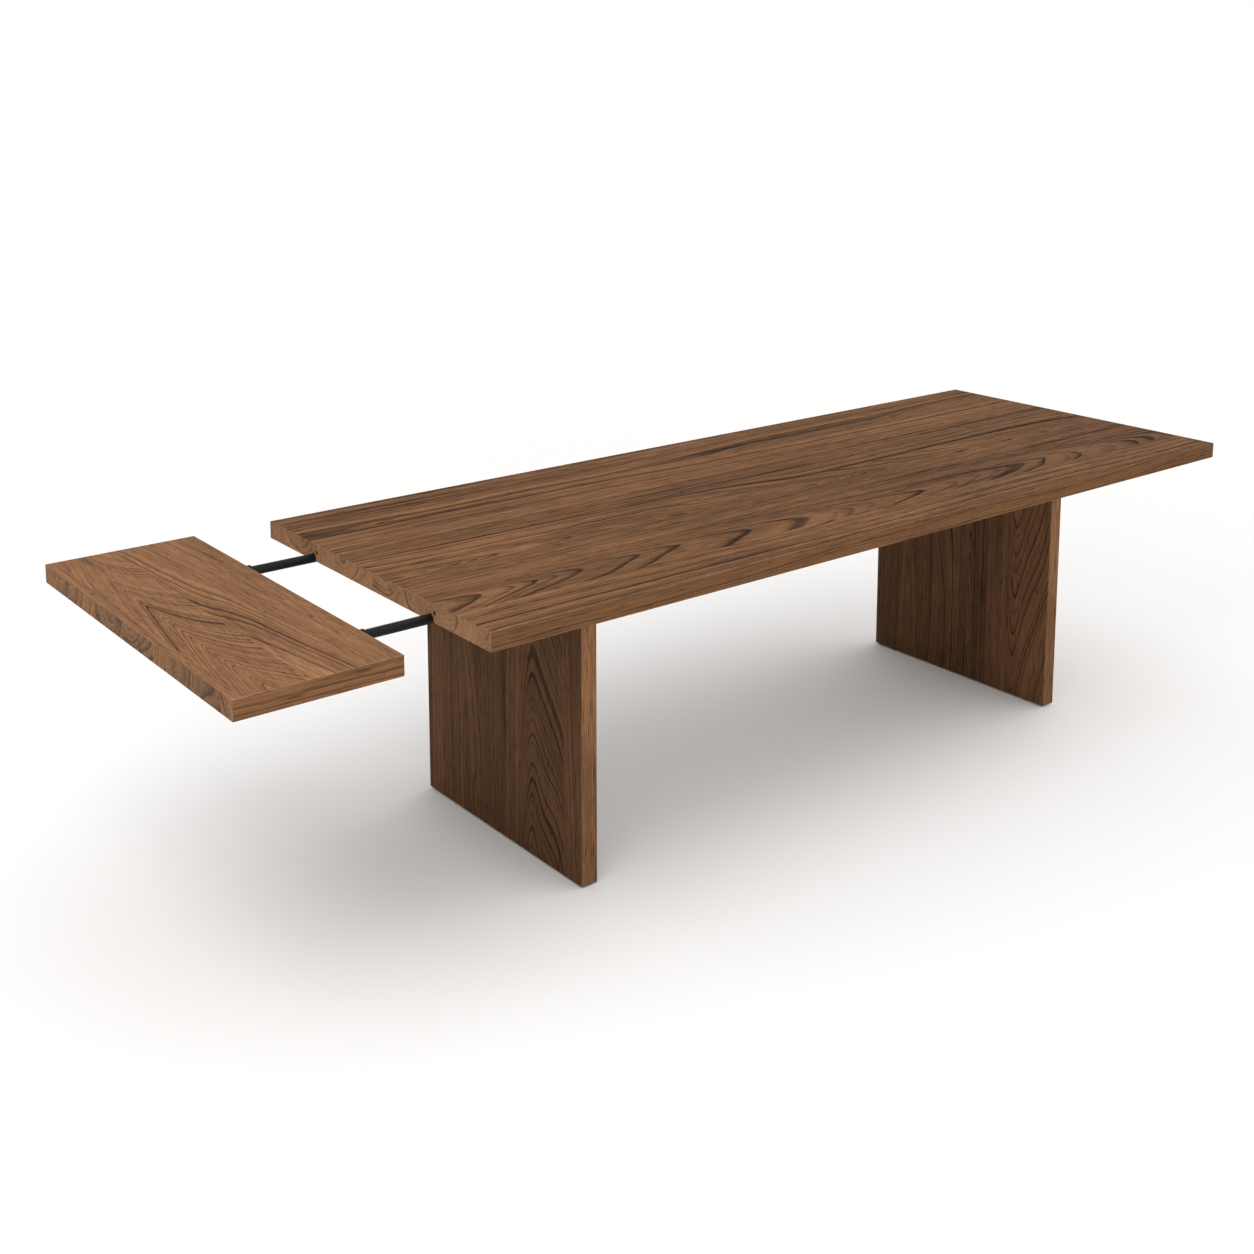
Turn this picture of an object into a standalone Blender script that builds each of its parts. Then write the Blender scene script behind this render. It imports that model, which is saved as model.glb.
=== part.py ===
"""Extendable dining table: a slab top on two panel legs, and a leaf that slides on two steel tubes.

The long side runs along X with the leaf at the -X end, and the origin is on the floor under the
middle of the whole object. Metres, +Z up. The leaf is modelled drawn out, with its tubes still
held in the channels under the end of the top.
"""

import math

import bmesh
import bpy
from mathutils import Matrix, Vector

# Boards
TABLE_HEIGHT = 0.75
TABLE_LENGTH = 2.60
TABLE_WIDTH = 1.00
BOARD_THICKNESS = 0.044
LEAF_LENGTH = 0.36
LEG_WIDTH = 0.67
LEG_THICKNESS = 0.044
LEG_INSET_LEAF_END = 0.35
LEG_INSET_FAR_END = 0.51
ARRIS = 0.0012
PULL_OUT = 0.20

# Clearances
TOUCH_GAP = 0.0003
SLIDE_CLEARANCE = 0.0004

# Runner tubes and the channels that they lie in
TUBE_DIAMETER = 0.022
TUBE_WALL = 0.002
TUBE_SPACING = 0.535
TUBE_DROP = 0.004
TUBE_TO_LEG = 0.021
CHANNEL_TO_LEG = 0.012
LEAF_END_COVER = 0.035
CAP_FLANGE = 0.002
CAP_PLUG_LENGTH = 0.010
TUBE_SCREW_INSET = 0.045

# Locating pins in the leaf's inner edge
PIN_DIAMETER = 0.010
PIN_PROTRUSION = 0.032
PIN_EMBEDDED = 0.030
PIN_ABOVE_TUBE = 0.016
PIN_BESIDE_TUBE = 0.016
PIN_SOCKET_ROOM = 0.003

# Guide blocks under the tubes
BLOCK_LENGTH = 0.045
BLOCK_WING = 0.019
BLOCK_UNDER_TUBE = 0.008
BLOCK_FIRST = 0.012
BLOCK_SPACING = 0.065

# Leg brackets and stiffeners
BRACKET_LENGTH = 0.46
BRACKET_FLANGE = 0.045
BRACKET_STEEL = 0.004
BRACKET_SCREW_PITCH = 0.18
LEG_SCREW_PITCH = 0.15
LEG_SCREW_DROP = 0.027
STIFFENER_COUNT = 2
STIFFENER_LENGTH = 0.80
STIFFENER_WIDTH = 0.040
STIFFENER_STEEL = 0.008
STIFFENER_SCREW_PITCH = 0.32
SCREWS_IN_A_ROW = 3

# Screws
SCREW_DIAMETER = 0.005
SCREW_LENGTH = 0.030
SCREW_HEAD_DIAMETER = 0.010
SCREW_HEAD_HEIGHT = 0.003
SCREW_SOCKET_DIAMETER = 0.005
SCREW_SOCKET_DEPTH = 0.0015
SCREW_HOLE_CLEARANCE = 0.0005
TUBE_SCREW_WOOD = 0.014
WOOD_UNDER_SCREW = 0.004

# Levelling feet
FOOT_HEIGHT = 0.004
FOOT_DIAMETER = 0.036
FOOT_STEM_DIAMETER = 0.008
FOOT_STEM_LENGTH = 0.030
FOOT_INSET = 0.075

# Facets
TUBE_SEGMENTS = 32
PIN_SEGMENTS = 20
SCREW_SEGMENTS = 10
FOOT_SEGMENTS = 20
SMOOTH_ANGLE = 40
MERGE_DISTANCE = 0.00001

# Levels and stations worked out from the sizes above
UNDERSIDE_Z = TABLE_HEIGHT - BOARD_THICKNESS
TOTAL_LENGTH = TABLE_LENGTH + PULL_OUT + LEAF_LENGTH
LEAF_OUTER_X = -TOTAL_LENGTH / 2
LEAF_INNER_X = LEAF_OUTER_X + LEAF_LENGTH
TABLE_END_X = LEAF_INNER_X + PULL_OUT
TABLE_FAR_X = TABLE_END_X + TABLE_LENGTH
LEAF_END_LEG_X = TABLE_END_X + LEG_INSET_LEAF_END + LEG_THICKNESS / 2
FAR_END_LEG_X = TABLE_FAR_X - LEG_INSET_FAR_END - LEG_THICKNESS / 2
LEG_HEIGHT = UNDERSIDE_Z - TOUCH_GAP - FOOT_HEIGHT

TUBE_RADIUS = TUBE_DIAMETER / 2
TUBE_AXIS_Z = UNDERSIDE_Z - TUBE_DROP + TUBE_RADIUS
TUBE_START_X = LEAF_OUTER_X + LEAF_END_COVER
CLOSED_TUBE_END_X = TABLE_END_X + LEG_INSET_LEAF_END - TUBE_TO_LEG
TUBE_END_X = CLOSED_TUBE_END_X - PULL_OUT
CHANNEL_END_X = TABLE_END_X + LEG_INSET_LEAF_END - CHANNEL_TO_LEG
PIN_AXIS_Z = TUBE_AXIS_Z + PIN_ABOVE_TUBE
TUBE_SCREW_LENGTH = TUBE_DIAMETER + TOUCH_GAP + TUBE_SCREW_WOOD
SIDES = {"front": -TUBE_SPACING / 2, "back": TUBE_SPACING / 2}

BLOCK_THICKNESS = TUBE_DROP + BLOCK_UNDER_TUBE
BLOCK_SCREW_OFFSETS = (-TUBE_RADIUS - BLOCK_WING / 2, TUBE_RADIUS + BLOCK_WING / 2)
GROOVE_TOP_Z = UNDERSIDE_Z + STIFFENER_STEEL + TOUCH_GAP
LEG_SCREW_Z = UNDERSIDE_Z - TOUCH_GAP - LEG_SCREW_DROP

EPSILON = 0.002  # how far a cutter runs past the face that it opens


def clear_scene():
    for obj in list(bpy.data.objects):
        bpy.data.objects.remove(obj, do_unlink=True)


def material(name, color, roughness, metallic=0.0):
    made = bpy.data.materials.new(name)
    made.use_nodes = True
    shader = made.node_tree.nodes["Principled BSDF"]
    shader.inputs["Base Color"].default_value = (*color, 1.0)
    shader.inputs["Roughness"].default_value = roughness
    shader.inputs["Metallic"].default_value = metallic
    made.diffuse_color = (*color, 1.0)
    return made


def add_box(bm, low, high):
    """Adds a box between two opposite corners and returns its vertices."""
    low, high = Vector(low), Vector(high)
    made = bmesh.ops.create_cube(bm, size=1.0)
    bmesh.ops.scale(bm, vec=high - low, verts=made["verts"])
    bmesh.ops.translate(bm, vec=(low + high) / 2, verts=made["verts"])
    return made["verts"]


def add_cylinder(bm, radius, start, end, segments):
    """Adds a cylinder between two points and returns its vertices."""
    start, end = Vector(start), Vector(end)
    along = end - start
    turn = along.to_track_quat("Z", "Y").to_matrix().to_4x4()
    made = bmesh.ops.create_cone(
        bm,
        cap_ends=True,
        segments=segments,
        radius1=radius,
        radius2=radius,
        depth=along.length,
        matrix=Matrix.Translation((start + end) / 2) @ turn,
    )
    return made["verts"]


def add_turned(bm, profile, segments):
    """Adds a solid turned about Z from (radius, height) points that start and end on the axis."""
    points = [bm.verts.new((radius, 0.0, height)) for radius, height in profile]
    edges = [bm.edges.new(pair) for pair in zip(points, points[1:])]
    bmesh.ops.spin(
        bm,
        geom=points + edges,
        cent=(0.0, 0.0, 0.0),
        axis=(0.0, 0.0, 1.0),
        angle=math.tau,
        steps=segments,
    )
    bmesh.ops.remove_doubles(bm, verts=bm.verts[:], dist=MERGE_DISTANCE)
    bmesh.ops.recalc_face_normals(bm, faces=bm.faces[:])


def add_channel(bm, start_x, end_x, y, clearance):
    """Adds a cutter with a round roof over a tube, open downwards below the board."""
    radius = TUBE_RADIUS + clearance
    half = TUBE_SEGMENTS // 2
    steps = [math.pi * step / half for step in range(half + 1)]
    outline = [(y + radius * math.cos(a), TUBE_AXIS_Z + radius * math.sin(a)) for a in steps]
    bottom_z = UNDERSIDE_Z - TUBE_DROP - EPSILON
    outline += [(y - radius, bottom_z), (y + radius, bottom_z)]
    face = bm.faces.new([bm.verts.new((start_x, py, pz)) for py, pz in outline])
    pushed = bmesh.ops.extrude_face_region(bm, geom=[face])
    moved = [item for item in pushed["geom"] if isinstance(item, bmesh.types.BMVert)]
    bmesh.ops.translate(bm, vec=(end_x - start_x, 0.0, 0.0), verts=moved)
    bmesh.ops.recalc_face_normals(bm, faces=bm.faces[:])


def mesh_from(bm, name, smooth_angle=None):
    mesh = bpy.data.meshes.new(name)
    bm.to_mesh(mesh)
    bm.free()
    if smooth_angle is not None:
        mesh.shade_smooth()
        mesh.set_sharp_from_angle(angle=math.radians(smooth_angle))
    return mesh


def add_object(name, mesh, finish, group, location=(0.0, 0.0, 0.0), rotation=(0.0, 0.0, 0.0)):
    """Adds a piece at a world place, held by the empty of its group."""
    obj = bpy.data.objects.new(name, mesh)
    bpy.context.scene.collection.objects.link(obj)
    if not mesh.materials:
        mesh.materials.append(finish)
    obj.parent = group
    obj.location = Vector(location) - group.location
    obj.rotation_euler = rotation
    return obj


def add_group(name, location):
    """Adds the empty that carries the pieces of one moving assembly."""
    group = bpy.data.objects.new(name, None)
    group.location = location
    bpy.context.scene.collection.objects.link(group)
    return group


def cut(obj, cutter_bm, label="cuts"):
    """Cuts every closed shape in the bmesh, given in world coordinates, out of the object."""
    name = f"{obj.name}_{label}"
    cutter = bpy.data.objects.new(name, mesh_from(cutter_bm, name))
    bpy.context.scene.collection.objects.link(cutter)
    cutter.hide_render = True
    cutter.display_type = "WIRE"
    modifier = obj.modifiers.new(label.capitalize(), "BOOLEAN")
    modifier.operation = "DIFFERENCE"
    modifier.solver = "EXACT"
    modifier.object = cutter


def add_board(name, low, high, finish, group):
    """Adds a wooden board with its arrises eased, as its mesh in world coordinates."""
    middle = (Vector(low) + Vector(high)) / 2
    bm = bmesh.new()
    add_box(bm, Vector(low) - middle, Vector(high) - middle)
    bmesh.ops.bevel(
        bm, geom=bm.edges[:], offset=ARRIS, segments=1, affect="EDGES", clamp_overlap=True
    )
    return add_object(name, mesh_from(bm, name), finish, group, middle)


def spread(count, pitch):
    """Places along a row, centred on zero."""
    return [(index - (count - 1) / 2) * pitch for index in range(count)]


def screw_mesh(name, length):
    """A pan-head screw that points along +Z, with its head under z = 0 and a round drive recess."""
    shank = SCREW_DIAMETER / 2
    head = SCREW_HEAD_DIAMETER / 2
    socket = SCREW_SOCKET_DIAMETER / 2
    ease = SCREW_HEAD_HEIGHT / 3
    profile = [
        (0.0, length),
        (shank, length - shank),
        (shank, 0.0),
        (head, 0.0),
        (head, -SCREW_HEAD_HEIGHT + ease),
        (head - ease, -SCREW_HEAD_HEIGHT),
        (socket, -SCREW_HEAD_HEIGHT),
        (socket, -SCREW_HEAD_HEIGHT + SCREW_SOCKET_DEPTH),
        (0.0, -SCREW_HEAD_HEIGHT + SCREW_SOCKET_DEPTH),
    ]
    bm = bmesh.new()
    add_turned(bm, profile, SCREW_SEGMENTS)
    return mesh_from(bm, name, smooth_angle=SMOOTH_ANGLE)


def add_hole(bm, start, end, clearance):
    """Adds a cutter for a screw's hole."""
    return add_cylinder(bm, SCREW_DIAMETER / 2 + clearance, start, end, SCREW_SEGMENTS)


def block_stations():
    """Middle of each guide block, from the mouth of the channel inwards."""
    first = TABLE_END_X + BLOCK_FIRST + BLOCK_LENGTH / 2
    return {"outer": first, "inner": first + BLOCK_SPACING}


def stiffener_stations():
    """Stiffeners stand at even spaces in the clear span between the leg panels."""
    start = LEAF_END_LEG_X + LEG_THICKNESS / 2
    end = FAR_END_LEG_X - LEG_THICKNESS / 2
    gap = (end - start) / (STIFFENER_COUNT + 1)
    return [start + gap * (index + 1) for index in range(STIFFENER_COUNT)]


def bracket_sides():
    """Each leg's name, the x of its inner face, and the way that face looks along X."""
    return {
        "leaf_end": (LEAF_END_LEG_X + LEG_THICKNESS / 2, 1.0),
        "far_end": (FAR_END_LEG_X - LEG_THICKNESS / 2, -1.0),
    }


def bracket_hole_x(face_x, way):
    return face_x + way * (TOUCH_GAP + BRACKET_FLANGE / 2)


def build_tabletop(wood, group):
    half = TABLE_WIDTH / 2
    low = (TABLE_END_X, -half, UNDERSIDE_Z)
    top = add_board("tabletop", low, (TABLE_FAR_X, half, TABLE_HEIGHT), wood, group)
    cuts = bmesh.new()
    for y in SIDES.values():
        add_channel(cuts, TABLE_END_X - EPSILON, CHANNEL_END_X, y, SLIDE_CLEARANCE)
        pin_y = y - PIN_BESIDE_TUBE
        socket_end = TABLE_END_X + PIN_PROTRUSION + PIN_SOCKET_ROOM
        start = (TABLE_END_X - EPSILON, pin_y, PIN_AXIS_Z)
        radius = PIN_DIAMETER / 2 + SLIDE_CLEARANCE
        add_cylinder(cuts, radius, start, (socket_end, pin_y, PIN_AXIS_Z), PIN_SEGMENTS)
        for x in block_stations().values():
            for offset in BLOCK_SCREW_OFFSETS:
                add_screw_well(cuts, x, y + offset, UNDERSIDE_Z, BLOCK_THICKNESS)
    for face_x, way in bracket_sides().values():
        for y in spread(SCREWS_IN_A_ROW, BRACKET_SCREW_PITCH):
            add_screw_well(cuts, bracket_hole_x(face_x, way), y, UNDERSIDE_Z, BRACKET_STEEL)
    for x in stiffener_stations():
        low = Vector((x - STIFFENER_WIDTH / 2, -STIFFENER_LENGTH / 2, UNDERSIDE_Z))
        high = Vector((x + STIFFENER_WIDTH / 2, STIFFENER_LENGTH / 2, GROOVE_TOP_Z))
        room = Vector((TOUCH_GAP, TOUCH_GAP, 0.0))
        add_box(cuts, low - room - Vector((0.0, 0.0, EPSILON)), high + room)
    cut(top, cuts)
    wells = bmesh.new()
    for x in stiffener_stations():
        for y in spread(SCREWS_IN_A_ROW, STIFFENER_SCREW_PITCH):
            start = (x, y, GROOVE_TOP_Z - EPSILON)
            end = (x, y, UNDERSIDE_Z + SCREW_LENGTH + WOOD_UNDER_SCREW)
            add_hole(wells, start, end, TOUCH_GAP)
    cut(top, wells, "wells")
    return top


def add_screw_well(bm, x, y, face_z, clamped):
    """Adds a blind hole for a screw whose head bears on a piece of the clamped thickness."""
    depth = SCREW_LENGTH - clamped + WOOD_UNDER_SCREW
    add_hole(bm, (x, y, face_z - EPSILON), (x, y, face_z + depth), TOUCH_GAP)


def build_legs(wood, group):
    for name, (face_x, way) in bracket_sides().items():
        outer_x = face_x - way * LEG_THICKNESS
        low = (min(face_x, outer_x), -LEG_WIDTH / 2, FOOT_HEIGHT)
        high = (max(face_x, outer_x), LEG_WIDTH / 2, FOOT_HEIGHT + LEG_HEIGHT)
        leg = add_board("leg_panel_" + name, low, high, wood, group)
        cuts = bmesh.new()
        for y in spread(SCREWS_IN_A_ROW, LEG_SCREW_PITCH):
            depth = SCREW_LENGTH - BRACKET_STEEL + WOOD_UNDER_SCREW
            start = (face_x + way * EPSILON, y, LEG_SCREW_Z)
            add_hole(cuts, start, (face_x - way * depth, y, LEG_SCREW_Z), TOUCH_GAP)
        middle_x = (face_x + outer_x) / 2
        for y in (-LEG_WIDTH / 2 + FOOT_INSET, LEG_WIDTH / 2 - FOOT_INSET):
            start = (middle_x, y, FOOT_HEIGHT - EPSILON)
            end = (middle_x, y, FOOT_HEIGHT + FOOT_STEM_LENGTH + WOOD_UNDER_SCREW)
            add_cylinder(cuts, FOOT_STEM_DIAMETER / 2 + TOUCH_GAP, start, end, FOOT_SEGMENTS)
        cut(leg, cuts)


def build_feet(plastic, group):
    stem = FOOT_STEM_DIAMETER / 2
    base = FOOT_DIAMETER / 2
    plate = FOOT_HEIGHT - TOUCH_GAP
    profile = [
        (0.0, plate + FOOT_STEM_LENGTH),
        (stem, plate + FOOT_STEM_LENGTH),
        (stem, plate),
        (base, plate),
        (base, 0.0),
        (0.0, 0.0),
    ]
    bm = bmesh.new()
    add_turned(bm, profile, FOOT_SEGMENTS)
    mesh = mesh_from(bm, "levelling_foot", smooth_angle=SMOOTH_ANGLE)
    reach = LEG_WIDTH / 2 - FOOT_INSET
    for name, x in (("leaf_end", LEAF_END_LEG_X), ("far_end", FAR_END_LEG_X)):
        for side, y in (("front", -reach), ("back", reach)):
            add_object(f"levelling_foot_{name}_{side}", mesh, plastic, group, (x, y, 0.0))


def build_brackets(steel, plated, group):
    screw = screw_mesh("bracket_screw", SCREW_LENGTH)
    for name, (face_x, way) in bracket_sides().items():
        start_x = face_x + way * TOUCH_GAP
        top_z = UNDERSIDE_Z - TOUCH_GAP
        outline = [
            (start_x, top_z),
            (start_x + way * BRACKET_FLANGE, top_z),
            (start_x + way * BRACKET_FLANGE, top_z - BRACKET_STEEL),
            (start_x + way * BRACKET_STEEL, top_z - BRACKET_STEEL),
            (start_x + way * BRACKET_STEEL, top_z - BRACKET_FLANGE),
            (start_x, top_z - BRACKET_FLANGE),
        ]
        bm = bmesh.new()
        end_y = -BRACKET_LENGTH / 2
        face = bm.faces.new([bm.verts.new((px - face_x, end_y, pz - top_z)) for px, pz in outline])
        pushed = bmesh.ops.extrude_face_region(bm, geom=[face])
        moved = [item for item in pushed["geom"] if isinstance(item, bmesh.types.BMVert)]
        bmesh.ops.translate(bm, vec=(0.0, BRACKET_LENGTH, 0.0), verts=moved)
        bmesh.ops.recalc_face_normals(bm, faces=bm.faces[:])
        mesh = mesh_from(bm, "leg_bracket_" + name)
        bracket = add_object(mesh.name, mesh, steel, group, (face_x, 0.0, top_z))
        cuts = bmesh.new()
        hole_x = bracket_hole_x(face_x, way)
        seat_z = top_z - BRACKET_STEEL - TOUCH_GAP
        for index, y in enumerate(spread(SCREWS_IN_A_ROW, BRACKET_SCREW_PITCH), 1):
            start = (hole_x, y, top_z - BRACKET_STEEL - EPSILON)
            add_hole(cuts, start, (hole_x, y, top_z + EPSILON), SCREW_HOLE_CLEARANCE)
            place = (hole_x, y, seat_z)
            add_object(f"top_screw_{name}_{index}", screw, plated, group, place)
        seat_x = start_x + way * (BRACKET_STEEL + TOUCH_GAP)
        turn = (0.0, -way * math.pi / 2, 0.0)
        for index, y in enumerate(spread(SCREWS_IN_A_ROW, LEG_SCREW_PITCH), 1):
            start = (start_x - way * EPSILON, y, LEG_SCREW_Z)
            end = (seat_x + way * EPSILON, y, LEG_SCREW_Z)
            add_hole(cuts, start, end, SCREW_HOLE_CLEARANCE)
            place = (seat_x, y, LEG_SCREW_Z)
            add_object(f"leg_screw_{name}_{index}", screw, plated, group, place, turn)
        cut(bracket, cuts)


def build_stiffeners(steel, plated, group):
    screw = screw_mesh("stiffener_screw", SCREW_LENGTH)
    low = Vector((-STIFFENER_WIDTH / 2, -STIFFENER_LENGTH / 2, 0.0))
    high = Vector((STIFFENER_WIDTH / 2, STIFFENER_LENGTH / 2, STIFFENER_STEEL))
    for number, x in enumerate(stiffener_stations(), 1):
        bm = bmesh.new()
        add_box(bm, low, high)
        name = f"stiffener_{number}"
        mesh = mesh_from(bm, name)
        bar = add_object(name, mesh, steel, group, (x, 0.0, UNDERSIDE_Z))
        cuts = bmesh.new()
        for index, y in enumerate(spread(SCREWS_IN_A_ROW, STIFFENER_SCREW_PITCH), 1):
            start = (x, y, UNDERSIDE_Z - EPSILON)
            add_hole(cuts, start, (x, y, GROOVE_TOP_Z + EPSILON), SCREW_HOLE_CLEARANCE)
            place = (x, y, UNDERSIDE_Z - TOUCH_GAP)
            add_object(f"stiffener_screw_{number}_{index}", screw, plated, group, place)
        cut(bar, cuts)


def build_guides(plastic, plated, group):
    """Acetal blocks that carry the tubes from below, two to a tube."""
    screw = screw_mesh("guide_screw", SCREW_LENGTH)
    half_width = TUBE_RADIUS + BLOCK_WING
    low = Vector((-BLOCK_LENGTH / 2, -half_width, -BLOCK_THICKNESS))
    high = Vector((BLOCK_LENGTH / 2, half_width, 0.0))
    for side, y in SIDES.items():
        for place, x in block_stations().items():
            bm = bmesh.new()
            add_box(bm, low, high)
            name = f"guide_block_{side}_{place}"
            top_z = UNDERSIDE_Z - TOUCH_GAP
            block = add_object(name, mesh_from(bm, name), plastic, group, (x, y, top_z))
            cuts = bmesh.new()
            reach = BLOCK_LENGTH / 2 + EPSILON
            start = (x - reach, y, TUBE_AXIS_Z)
            end = (x + reach, y, TUBE_AXIS_Z)
            add_cylinder(cuts, TUBE_RADIUS + SLIDE_CLEARANCE, start, end, TUBE_SEGMENTS)
            seat_z = top_z - BLOCK_THICKNESS - TOUCH_GAP
            for index, offset in enumerate(BLOCK_SCREW_OFFSETS, 1):
                start = (x, y + offset, seat_z - EPSILON)
                end = (x, y + offset, top_z + EPSILON)
                add_hole(cuts, start, end, SCREW_HOLE_CLEARANCE)
                at = (x, y + offset, seat_z)
                add_object(f"guide_screw_{side}_{place}_{index}", screw, plated, group, at)
            cut(block, cuts)


def tube_screw_stations():
    """The two screws that hold a tube to the leaf stand the same distance from its ends."""
    return {"outer": TUBE_START_X + TUBE_SCREW_INSET, "inner": LEAF_INNER_X - TUBE_SCREW_INSET}


def build_leaf(wood, group):
    half = TABLE_WIDTH / 2
    low = (LEAF_OUTER_X, -half, UNDERSIDE_Z)
    leaf = add_board("leaf", low, (LEAF_INNER_X, half, TABLE_HEIGHT), wood, group)
    cuts = bmesh.new()
    wells = bmesh.new()
    for y in SIDES.values():
        start_x = TUBE_START_X - CAP_FLANGE - TOUCH_GAP
        add_channel(cuts, start_x, LEAF_INNER_X + EPSILON, y, TOUCH_GAP)
        pin_y = y - PIN_BESIDE_TUBE
        start = (LEAF_INNER_X - PIN_EMBEDDED - TOUCH_GAP, pin_y, PIN_AXIS_Z)
        end = (LEAF_INNER_X + EPSILON, pin_y, PIN_AXIS_Z)
        add_cylinder(cuts, PIN_DIAMETER / 2 + TOUCH_GAP, start, end, PIN_SEGMENTS)
        for x in tube_screw_stations().values():
            end_z = UNDERSIDE_Z - TUBE_DROP + TUBE_SCREW_LENGTH + WOOD_UNDER_SCREW
            add_hole(wells, (x, y, TUBE_AXIS_Z), (x, y, end_z), TOUCH_GAP)
    cut(leaf, cuts)
    cut(leaf, wells, "wells")


def build_tubes(coated, plated, group):
    """Runner tubes, held to the leaf by screws that pass through both walls."""
    screw = screw_mesh("tube_screw", TUBE_SCREW_LENGTH)
    length = TUBE_END_X - TUBE_START_X
    for side, y in SIDES.items():
        bm = bmesh.new()
        add_cylinder(bm, TUBE_RADIUS, (0, 0, 0), (length, 0, 0), TUBE_SEGMENTS)
        ends = [face for face in bm.faces if abs(face.normal.x) > 0.9]
        bmesh.ops.inset_region(bm, faces=ends, thickness=TUBE_WALL)
        inner = [face for face in bm.faces if abs(face.normal.x) > 0.9 and len(face.verts) > 4]
        bmesh.ops.bridge_loops(bm, edges=[edge for face in inner for edge in face.edges])
        bmesh.ops.delete(bm, geom=inner, context="FACES_ONLY")
        bmesh.ops.recalc_face_normals(bm, faces=bm.faces[:])
        name = "runner_tube_" + side
        place = (TUBE_START_X, y, TUBE_AXIS_Z)
        tube = add_object(name, mesh_from(bm, name, smooth_angle=SMOOTH_ANGLE), coated, group, place)
        cuts = bmesh.new()
        reach = TUBE_RADIUS + EPSILON
        for spot, x in tube_screw_stations().items():
            start = (x, y, TUBE_AXIS_Z - reach)
            add_hole(cuts, start, (x, y, TUBE_AXIS_Z + reach), SCREW_HOLE_CLEARANCE)
            at = (x, y, UNDERSIDE_Z - TUBE_DROP - TOUCH_GAP)
            add_object(f"tube_screw_{side}_{spot}", screw, plated, group, at)
        cut(tube, cuts)


def build_caps(plastic, group):
    """Push-in caps that close both ends of each tube."""
    plug = TUBE_RADIUS - TUBE_WALL - TOUCH_GAP
    profile = [
        (0.0, CAP_PLUG_LENGTH),
        (plug, CAP_PLUG_LENGTH),
        (plug, 0.0),
        (TUBE_RADIUS, 0.0),
        (TUBE_RADIUS, TOUCH_GAP - CAP_FLANGE / 2),
        (TUBE_RADIUS - CAP_FLANGE / 2, TOUCH_GAP - CAP_FLANGE),
        (0.0, TOUCH_GAP - CAP_FLANGE),
    ]
    bm = bmesh.new()
    add_turned(bm, profile, TUBE_SEGMENTS)
    mesh = mesh_from(bm, "tube_cap", smooth_angle=SMOOTH_ANGLE)
    quarter = math.pi / 2
    for side, y in SIDES.items():
        place = (TUBE_START_X - TOUCH_GAP, y, TUBE_AXIS_Z)
        add_object(f"tube_cap_{side}_outer", mesh, plastic, group, place, (0.0, quarter, 0.0))
        place = (TUBE_END_X + TOUCH_GAP, y, TUBE_AXIS_Z)
        add_object(f"tube_cap_{side}_inner", mesh, plastic, group, place, (0.0, -quarter, 0.0))


def build_pins(coated, group):
    """Round-nosed pins that line the leaf up with the top as it closes."""
    radius = PIN_DIAMETER / 2
    steps = PIN_SEGMENTS // 4
    nose = [
        (radius * math.sin(math.pi / 2 * step / steps), radius * math.cos(math.pi / 2 * step / steps))
        for step in range(steps + 1)
    ]
    shoulder = PIN_PROTRUSION - radius
    profile = [(r, shoulder + h) for r, h in nose]
    profile += [(radius, -PIN_EMBEDDED), (0.0, -PIN_EMBEDDED)]
    bm = bmesh.new()
    add_turned(bm, profile, PIN_SEGMENTS)
    mesh = mesh_from(bm, "locating_pin", smooth_angle=SMOOTH_ANGLE)
    for side, y in SIDES.items():
        place = (LEAF_INNER_X, y - PIN_BESIDE_TUBE, PIN_AXIS_Z)
        turn = (0.0, math.pi / 2, 0.0)
        add_object(f"locating_pin_{side}", mesh, coated, group, place, turn)


def main():
    clear_scene()
    walnut = material("walnut_top", (0.165, 0.082, 0.042), 0.45)
    leaf_walnut = material("walnut_leaf", (0.205, 0.105, 0.052), 0.45)
    leg_walnut = material("walnut_leg", (0.115, 0.058, 0.032), 0.5)
    coated = material("black_powder_coat", (0.012, 0.012, 0.013), 0.42, 0.2)
    plated = material("zinc_plated_steel", (0.55, 0.55, 0.53), 0.35, 1.0)
    acetal = material("black_acetal", (0.02, 0.02, 0.02), 0.5)
    table = add_group("table_frame", (0.0, 0.0, 0.0))
    slide = add_group("leaf_slide", (LEAF_INNER_X, 0.0, TUBE_AXIS_Z))
    build_tabletop(walnut, table)
    build_legs(leg_walnut, table)
    build_feet(acetal, table)
    build_brackets(coated, plated, table)
    build_stiffeners(coated, plated, table)
    build_guides(acetal, plated, table)
    build_leaf(leaf_walnut, slide)
    build_tubes(coated, plated, slide)
    build_caps(acetal, slide)
    build_pins(coated, slide)


main()
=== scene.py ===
import math

import bpy
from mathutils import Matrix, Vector


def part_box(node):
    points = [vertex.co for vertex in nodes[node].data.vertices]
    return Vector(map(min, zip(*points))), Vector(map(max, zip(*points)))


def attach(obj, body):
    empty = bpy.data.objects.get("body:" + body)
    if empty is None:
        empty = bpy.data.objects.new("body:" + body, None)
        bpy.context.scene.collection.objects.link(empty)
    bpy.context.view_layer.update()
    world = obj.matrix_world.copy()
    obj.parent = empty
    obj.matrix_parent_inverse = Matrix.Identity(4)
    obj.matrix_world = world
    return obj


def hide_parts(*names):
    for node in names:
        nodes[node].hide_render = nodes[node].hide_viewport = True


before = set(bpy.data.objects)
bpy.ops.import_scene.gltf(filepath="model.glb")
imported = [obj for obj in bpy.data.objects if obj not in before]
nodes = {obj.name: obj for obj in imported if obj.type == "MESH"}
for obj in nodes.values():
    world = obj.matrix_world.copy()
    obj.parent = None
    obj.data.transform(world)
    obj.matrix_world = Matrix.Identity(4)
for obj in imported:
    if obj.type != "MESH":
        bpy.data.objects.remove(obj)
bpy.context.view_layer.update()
scene = bpy.context.scene
print("frame loaded:", len(nodes), "CAD nodes")


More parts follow.
